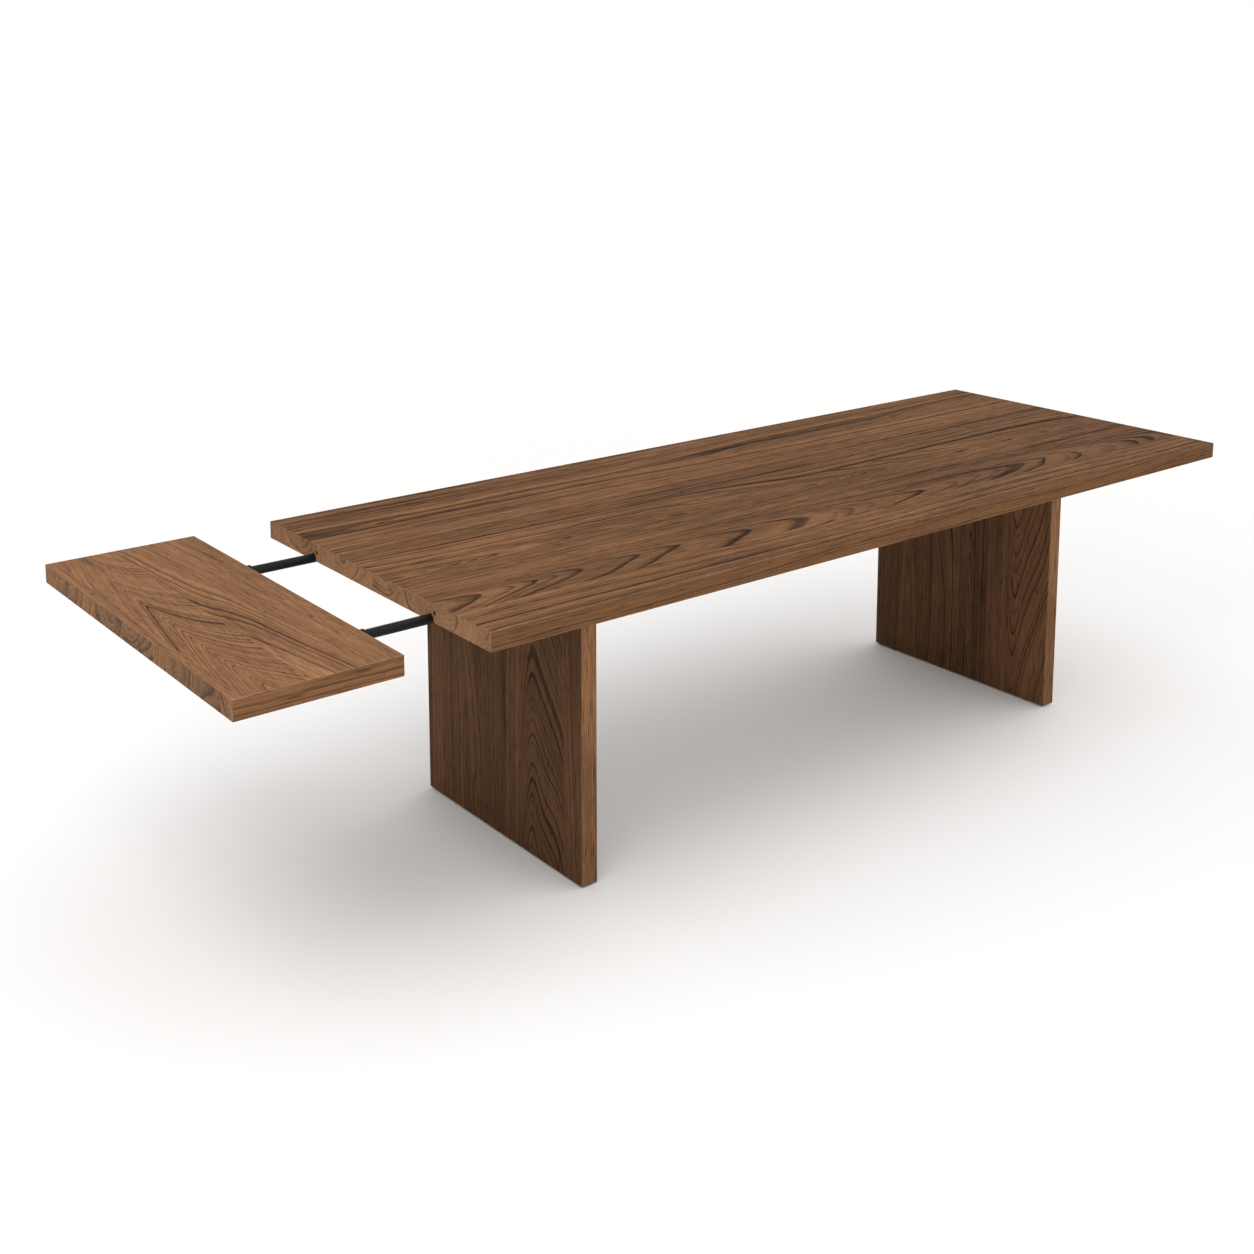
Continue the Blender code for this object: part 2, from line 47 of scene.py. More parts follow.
# sRGB hex to the linear values that shaders take
def hexColor(code, alpha=1.0):
    parts = [int(code[i : i + 2], 16) / 255 for i in (1, 3, 5)]
    return [p / 12.92 if p <= 0.04045 else ((p + 0.055) / 1.055) ** 2.4 for p in parts] + [alpha]


# Adds a node. Inputs are given by name or number: a socket is linked, anything else is a set value
def addNode(tree, kind, inputs=None, **settings):
    made = tree.nodes.new(kind)
    for key, value in settings.items():
        setattr(made, key, value)
    for key, value in (inputs or {}).items():
        if isinstance(value, bpy.types.NodeSocket):
            tree.links.new(value, made.inputs[key])
        else:
            made.inputs[key].default_value = value
    return made


mathNode = "ShaderNodeMath"


def grey(value):
    return (value, value, value, 1.0)


def setRamp(ramp, stops):
    elements = ramp.color_ramp.elements
    while len(elements) > 1:
        elements.remove(elements[-1])
    elements[0].position, elements[0].color = stops[0]
    for position, color in stops[1:]:
        elements.new(position).color = color


def newMaterial(name):
    made = bpy.data.materials.new(name)
    made.use_nodes = True
    made.node_tree.nodes.clear()
    return made, made.node_tree


# Everything that a user would change about the walnut itself. Lengths are in metres
walnutLook = {
    "pithDepth": (0.004, 0.034),  # how far below the face a stave's heart lies
    "pithWander": 0.014,  # how far the heart wanders along the board
    "raggedness": 0.0008,  # waviness of a single ring line
    "eyeHeight": 0.009,  # pushes rings aside round a small knot
    "eyeRarity": 0.62,  # share of the places for a knot that stay plain
    # how many times each pattern repeats in a metre, along the grain and across it
    "wanderRate": (1.1, 4.0, 4.0),
    "raggedRate": (12.0, 48.0, 48.0),
    "eyeRate": (2.2, 7.0, 7.0),
    "streakRate": (1.3, 42.0, 42.0),
    "cloudRate": (2.4, 8.0, 8.0),
    "fibreRate": (14.0, 380.0, 380.0),
    "poreRate": (26.0, 520.0, 520.0),
    "bandRate": 34.0,
    "bandPush": 3.2,  # how far the bands crowd the rings together or apart, in rings
    # how much each of them darkens the wood
    "shares": {
        "late": 0.48,
        "bands": 0.30,
        "streak": 0.24,
        "cloud": 0.24,
        "fibre": 0.60,
        "pores": 0.32,
        "eye": 0.12,
    },
    "palette": [
        (0.00, "#A47D57"),
        (0.28, "#845D40"),
        (0.50, "#664831"),
        (0.74, "#463223"),
        (1.00, "#241812"),
    ],
}


# Solid walnut, cut from staves. The vector runs along the grain, across the staves and down
# through the board, so a face, an edge and an end all show the same rings
def buildWalnutGroup(look):
    group = bpy.data.node_groups.new("walnutFigure", "ShaderNodeTree")
    for name, kind in (
        ("Vector", "NodeSocketVector"),
        ("Stave Width", "NodeSocketFloat"),
        ("Ring Spacing", "NodeSocketFloat"),
        ("Seed", "NodeSocketFloat"),
        ("Tone", "NodeSocketFloat"),
        ("Contrast", "NodeSocketFloat"),
        ("Taper", "NodeSocketFloat"),
        ("Stave Tone", "NodeSocketFloat"),
        ("Narrow", "NodeSocketFloat"),
    ):
        group.interface.new_socket(name, in_out="INPUT", socket_type=kind)
    for name, kind in (
        ("Color", "NodeSocketColor"), ("Darkness", "NodeSocketFloat"), ("Height", "NodeSocketFloat")
    ):
        group.interface.new_socket(name, in_out="OUTPUT", socket_type=kind)
    given = addNode(group, "NodeGroupInput").outputs
    split = addNode(group, "ShaderNodeSeparateXYZ", {0: given["Vector"]}).outputs
    along, across, depth = split[0], split[1], split[2]

    # staves of uneven width, each with its own random numbers
    turns = addNode(
        group, mathNode, {0: across, 1: given["Stave Width"]}, operation="DIVIDE"
    ).outputs[0]
    swing = addNode(
        group, mathNode, {0: turns, 1: 2.1, 2: given["Seed"]}, operation="MULTIPLY_ADD"
    ).outputs[0]
    swing = addNode(group, mathNode, {0: swing}, operation="SINE").outputs[0]
    turns = addNode(
        group, mathNode, {0: swing, 1: 0.35, 2: turns}, operation="MULTIPLY_ADD"
    ).outputs[0]
    number = addNode(group, mathNode, {0: turns}, operation="FLOOR").outputs[0]
    inside = addNode(group, mathNode, {0: turns}, operation="FRACT").outputs[0]
    number = addNode(
        group, mathNode, {0: given["Seed"], 1: 13.7, 2: number}, operation="MULTIPLY_ADD"
    ).outputs[0]
    chance = addNode(group, "ShaderNodeTexWhiteNoise", {"W": number}, noise_dimensions="1D")
    draws = addNode(group, "ShaderNodeSeparateColor", {0: chance.outputs["Color"]}).outputs
    shifted = addNode(group, mathNode, {0: number, 1: 0.37}, operation="ADD").outputs[0]
    chance2 = addNode(group, "ShaderNodeTexWhiteNoise", {"W": shifted}, noise_dimensions="1D")
    draws2 = addNode(group, "ShaderNodeSeparateColor", {0: chance2.outputs["Color"]}).outputs
    start = addNode(
        group, mathNode, {0: draws[0], 1: 6.0, 2: along}, operation="MULTIPLY_ADD"
    ).outputs[0]
    stave = addNode(group, "ShaderNodeCombineXYZ", {0: start, 1: across, 2: depth}).outputs[0]

    # the heart's place under this stave, wandering along the board
    stretch = addNode(
        group, "ShaderNodeVectorMath", {0: stave, 1: look["wanderRate"]}, operation="MULTIPLY"
    ).outputs[0]
    wander = addNode(
        group,
        "ShaderNodeTexNoise",
        {"Vector": stretch, "Scale": 1.0, "Detail": 2.0, "Roughness": 0.45},
    )
    wander = addNode(group, "ShaderNodeSeparateColor", {0: wander.outputs["Color"]}).outputs
    swayV = addNode(group, mathNode, {0: wander[0], 1: 0.5}, operation="SUBTRACT").outputs[0]
    swayW = addNode(group, mathNode, {0: wander[1], 1: 0.5}, operation="SUBTRACT").outputs[0]
    aside = addNode(group, mathNode, {0: draws[1], 1: 0.5}, operation="SUBTRACT").outputs[0]
    place = addNode(group, mathNode, {0: inside, 1: 0.5}, operation="SUBTRACT").outputs[0]
    place = addNode(
        group, mathNode, {0: aside, 1: 2.4, 2: place}, operation="MULTIPLY_ADD"
    ).outputs[0]
    placeV = addNode(
        group, mathNode, {0: place, 1: given["Stave Width"]}, operation="MULTIPLY"
    ).outputs[0]
    placeV = addNode(
        group, mathNode, {0: swayV, 1: look["pithWander"] * 4, 2: placeV}, operation="MULTIPLY_ADD"
    ).outputs[0]
    near, far = look["pithDepth"]
    pith = addNode(
        group, mathNode, {0: draws[2], 1: far - near, 2: near}, operation="MULTIPLY_ADD"
    ).outputs[0]
    placeW = addNode(group, mathNode, {0: pith, 1: depth}, operation="SUBTRACT").outputs[0]
    placeW = addNode(
        group, mathNode, {0: swayW, 1: look["pithWander"] * 4, 2: placeW}, operation="MULTIPLY_ADD"
    ).outputs[0]
    placeV = addNode(
        group, mathNode, {0: placeV, 1: given["Narrow"]}, operation="MULTIPLY"
    ).outputs[0]
    offset = addNode(group, "ShaderNodeCombineXYZ", {0: placeV, 1: placeW}).outputs[0]
    radius = addNode(
        group, "ShaderNodeVectorMath", {0: offset}, operation="LENGTH"
    ).outputs["Value"]

    # taper, raggedness and small knots move the rings
    lean = addNode(group, mathNode, {0: draws2[0], 1: 0.5}, operation="SUBTRACT").outputs[0]
    lean = addNode(group, mathNode, {0: lean, 1: given["Taper"]}, operation="MULTIPLY").outputs[0]
    aside = addNode(group, mathNode, {0: aside}, operation="ABSOLUTE").outputs[0]
    crown = addNode(
        group, "ShaderNodeMapRange", {0: aside, 1: 0.14, 2: 0.26, 3: 1.0, 4: 0.10}
    ).outputs[0]
    lean = addNode(group, mathNode, {0: lean, 1: crown}, operation="MULTIPLY").outputs[0]
    radius = addNode(
        group, mathNode, {0: start, 1: lean, 2: radius}, operation="MULTIPLY_ADD"
    ).outputs[0]
    stretch = addNode(
        group, "ShaderNodeVectorMath", {0: stave, 1: look["raggedRate"]}, operation="MULTIPLY"
    ).outputs[0]
    ragged = addNode(
        group,
        "ShaderNodeTexNoise",
        {"Vector": stretch, "Scale": 1.0, "Detail": 3.0, "Roughness": 0.55},
    )
    ragged = addNode(
        group, mathNode, {0: ragged.outputs[0], 1: 0.5}, operation="SUBTRACT"
    ).outputs[0]
    radius = addNode(
        group, mathNode, {0: ragged, 1: look["raggedness"] * 3, 2: radius}, operation="MULTIPLY_ADD"
    ).outputs[0]
    stretch = addNode(
        group, "ShaderNodeVectorMath", {0: stave, 1: look["eyeRate"]}, operation="MULTIPLY"
    ).outputs[0]
    eyes = addNode(
        group, "ShaderNodeTexVoronoi", {"Vector": stretch, "Scale": 1.0, "Randomness": 1.0}
    )
    eyeNear = addNode(
        group,
        "ShaderNodeMapRange",
        {0: eyes.outputs["Distance"], 1: 0.0, 2: 0.30, 3: 1.0, 4: 0.0},
        interpolation_type="SMOOTHERSTEP",
    ).outputs[0]
    eyeChance = addNode(group, "ShaderNodeSeparateColor", {0: eyes.outputs["Color"]}).outputs[0]
    eyeChance = addNode(
        group, mathNode, {0: eyeChance, 1: look["eyeRarity"]}, operation="GREATER_THAN"
    ).outputs[0]
    eye = addNode(group, mathNode, {0: eyeNear, 1: eyeChance}, operation="MULTIPLY").outputs[0]
    radius = addNode(
        group, mathNode, {0: eye, 1: look["eyeHeight"], 2: radius}, operation="MULTIPLY_ADD"
    ).outputs[0]

    # wide and narrow years, as bands that follow the rings
    bandPlace = addNode(
        group, mathNode, {0: radius, 1: look["bandRate"], 2: number}, operation="MULTIPLY_ADD"
    ).outputs[0]
    bands = addNode(
        group,
        "ShaderNodeTexNoise",
        {"W": bandPlace, "Scale": 1.0, "Detail": 2.0},
        noise_dimensions="1D",
    ).outputs[0]
    bands = addNode(group, mathNode, {0: bands, 1: 0.5}, operation="SUBTRACT").outputs[0]

    # one ring: pale early wood darkening to a thin late line, some rings stronger than others
    ring = addNode(
        group, mathNode, {0: radius, 1: given["Ring Spacing"]}, operation="DIVIDE"
    ).outputs[0]
    ring = addNode(
        group, mathNode, {0: bands, 1: look["bandPush"], 2: ring}, operation="MULTIPLY_ADD"
    ).outputs[0]
    ringPart = addNode(group, mathNode, {0: ring}, operation="FRACT").outputs[0]
    ringNumber = addNode(group, mathNode, {0: ring}, operation="FLOOR").outputs[0]
    ringNumber = addNode(
        group, mathNode, {0: number, 1: 31.0, 2: ringNumber}, operation="MULTIPLY_ADD"
    ).outputs[0]
    ringChance = addNode(
        group, "ShaderNodeTexWhiteNoise", {"W": ringNumber}, noise_dimensions="1D"
    ).outputs["Value"]
    late = addNode(group, "ShaderNodeValToRGB", {0: ringPart})
    setRamp(
        late,
        [
            (0.0, grey(0.15)),
            (0.10, grey(0.0)),
            (0.45, grey(0.06)),
            (0.70, grey(0.35)),
            (0.86, grey(1.0)),
            (0.95, grey(0.9)),
            (1.0, grey(0.15)),
        ],
    )
    strength = addNode(
        group, mathNode, {0: ringChance, 1: 0.95, 2: 0.10}, operation="MULTIPLY_ADD"
    ).outputs[0]
    late = addNode(
        group, mathNode, {0: late.outputs[0], 1: strength}, operation="MULTIPLY"
    ).outputs[0]

    # dark mineral streaks that follow the grain, and clouds of tone
    stretch = addNode(
        group, "ShaderNodeVectorMath", {0: stave, 1: look["streakRate"]}, operation="MULTIPLY"
    ).outputs[0]
    streak = addNode(
        group,
        "ShaderNodeTexNoise",
        {"Vector": stretch, "Scale": 1.0, "Detail": 3.0, "Roughness": 0.6},
    ).outputs[0]
    streak = addNode(
        group,
        "ShaderNodeMapRange",
        {0: streak, 1: 0.56, 2: 0.74, 3: 0.0, 4: 1.0},
        interpolation_type="SMOOTHSTEP",
    ).outputs[0]
    stretch = addNode(
        group, "ShaderNodeVectorMath", {0: stave, 1: look["cloudRate"]}, operation="MULTIPLY"
    ).outputs[0]
    cloud = addNode(
        group, "ShaderNodeTexNoise", {"Vector": stretch, "Scale": 1.0, "Detail": 2.0}
    ).outputs[0]
    cloud = addNode(group, mathNode, {0: cloud, 1: 0.5}, operation="SUBTRACT").outputs[0]

    # fibres, and pores drawn about 2 mm wide, coarser than the real 0.2 mm, so that they show
    stretch = addNode(
        group, "ShaderNodeVectorMath", {0: stave, 1: look["fibreRate"]}, operation="MULTIPLY"
    ).outputs[0]
    fibre = addNode(
        group,
        "ShaderNodeTexNoise",
        {"Vector": stretch, "Scale": 1.0, "Detail": 2.0, "Roughness": 0.6},
    ).outputs[0]
    fibre = addNode(group, mathNode, {0: fibre, 1: 0.5}, operation="SUBTRACT").outputs[0]
    stretch = addNode(
        group, "ShaderNodeVectorMath", {0: stave, 1: look["poreRate"]}, operation="MULTIPLY"
    ).outputs[0]
    pores = addNode(
        group, "ShaderNodeTexNoise", {"Vector": stretch, "Scale": 1.0, "Detail": 1.0}
    ).outputs[0]
    pores = addNode(
        group,
        "ShaderNodeMapRange",
        {0: pores, 1: 0.60, 2: 0.72, 3: 0.0, 4: 1.0},
        interpolation_type="SMOOTHSTEP",
    ).outputs[0]

    # how dark the wood is at this point, from 0 to 1
    tone = addNode(group, mathNode, {0: draws2[1], 1: 0.5}, operation="SUBTRACT").outputs[0]
    figure = addNode(
        group, mathNode, {0: tone, 1: given["Stave Tone"]}, operation="MULTIPLY"
    ).outputs[0]
    parts = {
        "late": late,
        "bands": bands,
        "streak": streak,
        "cloud": cloud,
        "fibre": fibre,
        "pores": pores,
        "eye": eye,
    }
    for name, share in look["shares"].items():
        figure = addNode(
            group, mathNode, {0: parts[name], 1: share, 2: figure}, operation="MULTIPLY_ADD"
        ).outputs[0]
    dark = addNode(
        group,
        mathNode,
        {0: figure, 1: given["Contrast"], 2: given["Tone"]},
        operation="MULTIPLY_ADD",
        use_clamp=True,
    ).outputs[0]
    color = addNode(group, "ShaderNodeValToRGB", {0: dark})
    setRamp(color, [(place, hexColor(code)) for place, code in look["palette"]])
    lift = addNode(group, mathNode, {0: fibre, 1: 0.5}, operation="MULTIPLY").outputs[0]
    height = addNode(
        group, mathNode, {0: pores, 1: -0.6, 2: lift}, operation="MULTIPLY_ADD"
    ).outputs[0]
    addNode(
        group, "NodeGroupOutput", {"Color": color.outputs[0], "Darkness": dark, "Height": height}
    )
    return group


walnutGroup = buildWalnutGroup(walnutLook)
print("walnut figure ready")


# Oiled walnut: satin, so it shows soft broad reflections and the grain can be felt
# "cuts" gives each side of the board its own figure: which axis is along, across and deep
def oiledWalnut(name, board, box):
    made, tree = newMaterial(name)
    where = addNode(tree, "ShaderNodeTexCoord").outputs["Object"]
    facing = addNode(tree, "ShaderNodeNewGeometry").outputs["Normal"]
    facing = addNode(tree, "ShaderNodeVectorMath", {0: facing}, operation="ABSOLUTE").outputs[0]
    facingParts = addNode(tree, "ShaderNodeSeparateXYZ", {0: facing}).outputs
    low, high = (Vector(corner) for corner in box)
    middle = (low + high) / 2
    centred = addNode(
        tree, "ShaderNodeVectorMath", {0: where, 1: middle}, operation="SUBTRACT"
    ).outputs[0]
    parts = addNode(tree, "ShaderNodeSeparateXYZ", {0: centred}).outputs
    cuts = []
    for cut in board["cuts"]:
        axes = ["XYZ".index(letter) for letter in cut["axes"]]
        vector = addNode(
            tree, "ShaderNodeCombineXYZ", {i: parts[axis] for i, axis in enumerate(axes)}
        ).outputs[0]
        vector = addNode(
            tree, "ShaderNodeVectorMath", {0: vector, "Scale": 1 / cut["coarse"]}, operation="SCALE"
        ).outputs[0]
        inputs = {key: value for key, value in cut.items() if key[0].isupper()}
        inputs["Vector"] = vector
        cuts.append(addNode(tree, "ShaderNodeGroup", inputs, node_tree=walnutGroup))
    color = cuts[0].outputs["Color"]
    height = cuts[0].outputs["Height"]
    for cut, group in zip(board["cuts"][1:], cuts[1:]):
        side = addNode(
            tree,
            mathNode,
            {0: facingParts["XYZ".index(cut["faces"])], 1: 0.75},
            operation="GREATER_THAN",
        ).outputs[0]
        mix = addNode(
            tree, "ShaderNodeMix", {0: side, 6: color, 7: group.outputs["Color"]}, data_type="RGBA"
        )
        color = mix.outputs[2]
        height = addNode(
            tree, "ShaderNodeMix", {0: side, 2: height, 3: group.outputs["Height"]}
        ).outputs[0]

    # the end faces are mixed a little towards a paler, pinker colour
    endSide = addNode(
        tree,
        mathNode,
        {0: facingParts["XYZ".index(board["endAxis"])], 1: 0.75},
        operation="GREATER_THAN",
    ).outputs[0]
    endMix = addNode(
        tree, mathNode, {0: endSide, 1: board["endFade"]}, operation="MULTIPLY"
    ).outputs[0]
    color = addNode(
        tree,
        "ShaderNodeMix",
        {0: endMix, 6: color, 7: hexColor(board["endColor"])},
        data_type="RGBA",
    ).outputs[2]

    # the eased arrises are painted paler in broken lengths: partly rubbed wear, partly a painted
    # highlight where the arris would catch the light
    half = (high - low) / 2
    size = addNode(tree, "ShaderNodeVectorMath", {0: centred}, operation="ABSOLUTE").outputs[0]
    inset = addNode(
        tree, "ShaderNodeVectorMath", {0: half, 1: size}, operation="SUBTRACT"
    ).outputs[0]
    gaps = addNode(tree, "ShaderNodeSeparateXYZ", {0: inset}).outputs
    lesser = addNode(tree, mathNode, {0: gaps[0], 1: gaps[1]}, operation="MINIMUM").outputs[0]
    greater = addNode(tree, mathNode, {0: gaps[0], 1: gaps[1]}, operation="MAXIMUM").outputs[0]
    greater = addNode(tree, mathNode, {0: greater, 1: gaps[2]}, operation="MINIMUM").outputs[0]
    second = addNode(tree, mathNode, {0: lesser, 1: greater}, operation="MAXIMUM").outputs[0]
    wear = addNode(
        tree,
        "ShaderNodeMapRange",
        {0: second, 1: board["wearWidth"], 2: 0.0003, 3: 0.0, 4: 1.0},
        interpolation_type="SMOOTHSTEP",
    ).outputs[0]
    broken = addNode(
        tree,
        "ShaderNodeTexNoise",
        {"Vector": where, "Scale": 42.0, "Detail": 3.0, "Roughness": 0.7},
    ).outputs[0]
    broken = addNode(
        tree, "ShaderNodeMapRange", {0: broken, 1: 0.36, 2: 0.62, 3: 0.25, 4: 1.0}
    ).outputs[0]
    wear = addNode(tree, mathNode, {0: wear, 1: broken}, operation="MULTIPLY").outputs[0]
    wear = addNode(tree, mathNode, {0: wear, 1: board["wear"]}, operation="MULTIPLY").outputs[0]
    color = addNode(
        tree,
        "ShaderNodeMix",
        {0: wear, 6: color, 7: hexColor(board["wearColor"])},
        data_type="RGBA",
    ).outputs[2]

    # the oil lies unevenly, so the sheen varies by the hand's breadth
    blot = addNode(
        tree, "ShaderNodeTexNoise", {"Vector": where, "Scale": 7.0, "Detail": 4.0, "Roughness": 0.6}
    ).outputs[0]
    rough = addNode(
        tree,
        "ShaderNodeMapRange",
        {0: blot, 1: 0.3, 2: 0.7, 3: board["roughness"][0], 4: board["roughness"][1]},
    ).outputs[0]
    rough = addNode(
        tree, mathNode, {0: height, 1: -0.12, 2: rough}, operation="MULTIPLY_ADD"
    ).outputs[0]
    bump = addNode(
        tree, "ShaderNodeBump", {"Height": height, "Distance": board["bump"], "Strength": 0.6}
    ).outputs[0]
    shader = addNode(
        tree, "ShaderNodeBsdfPrincipled", {"Base Color": color, "Roughness": rough, "Normal": bump}
    )
    shader.inputs["IOR"].default_value = 1.45
    shader.inputs["Specular IOR Level"].default_value = board["specular"]
    addNode(tree, "ShaderNodeOutputMaterial", {0: shader.outputs[0]})
    return made


def giveMaterial(name, material):
    slots = nodes[name].material_slots
    if not slots:
        nodes[name].data.materials.append(material)
    for slot in slots:
        slot.material = material


# The slab: staves about 115 mm wide, glued edge to edge, grain along the table.
# "coarse" enlarges a cut's whole figure that many times, so that its fibres and rings show
topBoard = {
    "cuts": [
        {
            "axes": "XYZ", "coarse": 1.4, "Seed": 3.0,
            "Stave Width": 0.082, "Ring Spacing": 0.0095, "Tone": 0.44, "Contrast": 1.22,
            "Taper": 0.34, "Stave Tone": 0.16, "Narrow": 1.6,
        },
        {
            "axes": "XYZ", "faces": "X", "coarse": 2.2, "Seed": 3.0,
            "Stave Width": 0.052, "Ring Spacing": 0.0058, "Tone": 0.24, "Contrast": 1.0,
            "Taper": 0.10, "Stave Tone": 0.16, "Narrow": 1.0,
        },
        {
            "axes": "XYZ", "faces": "Y", "coarse": 1.4, "Seed": 9.0,
            "Stave Width": 0.080, "Ring Spacing": 0.0062, "Tone": 0.41, "Contrast": 0.6,
            "Taper": 0.02, "Stave Tone": 0.10, "Narrow": 1.0,
        },
    ],
    "endAxis": "X",
    "endFade": 0.15,
    "endColor": "#A8896F",
    "wearWidth": 0.0024,
    "wear": 0.34,
    "wearColor": "#B0937A",
    "roughness": (0.68, 0.84),
    "specular": 0.02,
    "bump": 0.0004,
}
giveMaterial("tabletop", oiledWalnut("oiledWalnutTop", topBoard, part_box("tabletop")))

# The leaf: crown-cut face with its arches across the table, edges cut as the slab's are
leafBoard = {
    "cuts": [
        {
            "axes": "YXZ", "coarse": 0.9, "Seed": 3.0,
            "Stave Width": 0.150, "Ring Spacing": 0.0085, "Tone": 0.30, "Contrast": 0.92,
            "Taper": 0.90, "Stave Tone": 0.10, "Narrow": 1.3,
        },
        {
            "axes": "XYZ", "faces": "X", "coarse": 2.2, "Seed": 5.0,
            "Stave Width": 0.048, "Ring Spacing": 0.0058, "Tone": 0.26, "Contrast": 1.2,
            "Taper": 0.10, "Stave Tone": 0.14, "Narrow": 1.0,
        },
        {
            "axes": "XYZ", "faces": "Y", "coarse": 1.4, "Seed": 5.0,
            "Stave Width": 0.080, "Ring Spacing": 0.0062, "Tone": 0.43, "Contrast": 0.7,
            "Taper": 0.02, "Stave Tone": 0.10, "Narrow": 1.0,
        },
    ],
    "endAxis": "X",
    "endFade": 0.15,
    "endColor": "#A08268",
    "wearWidth": 0.0024,
    "wear": 0.34,
    "wearColor": "#B0937A",
    "roughness": (0.54, 0.68),
    "specular": 0.02,
    "bump": 0.0004,
}
giveMaterial("leaf", oiledWalnut("oiledWalnutLeaf", leafBoard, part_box("leaf")))

# The legs: the same staves stood upright
legBoard = {
    "cuts": [
        {
            "axes": "ZYX", "coarse": 1.05, "Seed": 7.0,
            "Stave Width": 0.110, "Ring Spacing": 0.0085, "Tone": 0.45, "Contrast": 0.92,
            "Taper": 0.80, "Stave Tone": 0.14, "Narrow": 1.5,
        },
        # the narrow edges take a much lighter tone than the broad faces: painted light, standing in
        # for lit edges beside broad faces in the table's shade
        {
            "axes": "ZXY", "faces": "Y", "coarse": 1.3, "Seed": 4.0,
            "Stave Width": 0.100, "Ring Spacing": 0.0100, "Tone": 0.21, "Contrast": 1.2,
            "Taper": 0.60, "Stave Tone": 0.10, "Narrow": 1.6,
        },
    ],
    "endAxis": "Z",
    "endFade": 0.30,
    "endColor": "#7F675A",
    "wearWidth": 0.0024,
    "wear": 0.30,
    "wearColor": "#A1856C",
    "roughness": (0.54, 0.68),
    "specular": 0.04,
    "bump": 0.0004,
}
for name, seed in (("leg_panel_leaf_end", 7.0), ("leg_panel_far_end", 2.0)):
    legBoard["cuts"][0]["Seed"] = seed
    giveMaterial(name, oiledWalnut("oiledWalnut_" + name, legBoard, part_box(name)))
print("wood finished")


# Powder-coated steel: black, with a fine orange peel and a satin sheen. Highlights are soft and
# broken, and on the tubes they run in streaks where the coat has been drawn through the guides.
# The paler colour in the clouds and streaks is partly those polish marks and partly a painted
# highlight.
# "stretch" repeats the clouds that many times in a metre
coatLook = {
    "color": "#070707",
    "pale": "#141415",
    "plainStretch": (34.0, 34.0, 34.0),
    "plainRoughness": (0.52, 0.70),
    "tubeStretch": (5.0, 170.0, 170.0),
    "tubeRoughness": (0.28, 0.50),
    "specular": 0.16,
    "peelScale": 900.0,  # orange peel of about 1 mm
    "bump": 0.00004,
}


def powderCoat(name, look, stretch, roughness):
    made, tree = newMaterial(name)
    where = addNode(tree, "ShaderNodeTexCoord").outputs["Object"]
    peel = addNode(
        tree, "ShaderNodeTexNoise", {"Vector": where, "Scale": look["peelScale"], "Detail": 2.0}
    ).outputs[0]
    drawn = addNode(
        tree, "ShaderNodeVectorMath", {0: where, 1: stretch}, operation="MULTIPLY"
    ).outputs[0]
    blot = addNode(
        tree,
        "ShaderNodeTexNoise",
        {"Vector": drawn, "Scale": 1.0, "Detail": 4.0, "Roughness": 0.62},
    ).outputs[0]
    share = addNode(
        tree, "ShaderNodeMapRange", {0: blot, 1: 0.35, 2: 0.68, 3: 0.0, 4: 1.0}
    ).outputs[0]
    # paler in the clouds and streaks: polish marks, and a painted highlight
    color = addNode(
        tree,
        "ShaderNodeMix",
        {0: share, 6: hexColor(look["color"]), 7: hexColor(look["pale"])},
        data_type="RGBA",
    ).outputs[2]
    rough = addNode(
        tree, "ShaderNodeMapRange", {0: share, 3: roughness[1], 4: roughness[0]}
    ).outputs[0]
    bump = addNode(
        tree, "ShaderNodeBump", {"Height": peel, "Distance": look["bump"], "Strength": 0.5}
    ).outputs[0]
    shader = addNode(
        tree, "ShaderNodeBsdfPrincipled", {"Base Color": color, "Roughness": rough, "Normal": bump}
    )
    shader.inputs["Specular IOR Level"].default_value = look["specular"]
    addNode(tree, "ShaderNodeOutputMaterial", {0: shader.outputs[0]})
    return made


stretch, roughness = coatLook["plainStretch"], coatLook["plainRoughness"]
coatedSteel = powderCoat("powderCoatedSteel", coatLook, stretch, roughness)
stretch, roughness = coatLook["tubeStretch"], coatLook["tubeRoughness"]
coatedTube = powderCoat("powderCoatedTube", coatLook, stretch, roughness)


# One colour clouded with another, the cloud also changing the sheen. It serves two finishes
def cloudedFinish(name, look):
    made, tree = newMaterial(name)
    where = addNode(tree, "ShaderNodeTexCoord").outputs["Object"]
    inputs = {"Vector": where, "Scale": look["scale"], "Detail": look["detail"]}
    cloud = addNode(tree, "ShaderNodeTexNoise", inputs).outputs[0]
    inputs = {0: cloud, 6: hexColor(look["color"]), 7: hexColor(look["clouded"])}
    color = addNode(tree, "ShaderNodeMix", inputs, data_type="RGBA").outputs[2]
    inputs = {0: cloud, 1: 0.3, 2: 0.7, 3: look["roughness"][0], 4: look["roughness"][1]}
    rough = addNode(tree, "ShaderNodeMapRange", inputs).outputs[0]
    bump = addNode(tree, "ShaderNodeBump", {"Height": cloud, "Distance": look["bump"]}).outputs[0]
    inputs = {"Base Color": color, "Roughness": rough, "Normal": bump, "Metallic": look["metallic"]}
    shader = addNode(tree, "ShaderNodeBsdfPrincipled", inputs)
    shader.inputs["IOR"].default_value = look["ior"]
    addNode(tree, "ShaderNodeOutputMaterial", {0: shader.outputs[0]})
    return made


# Zinc-plated steel: bright but slightly clouded, blue and yellow by turns in the passivation
zincLook = {
    "color": "#AEB2B6",
    "clouded": "#B6AD97",
    "roughness": (0.22, 0.42),
    "metallic": 1.0,
    "ior": 1.5,
    "scale": 420.0,  # clouds of about 2 mm
    "detail": 3.0,
    "bump": 0.00002,
}
zinc = cloudedFinish("zincPlatedSteel", zincLook)

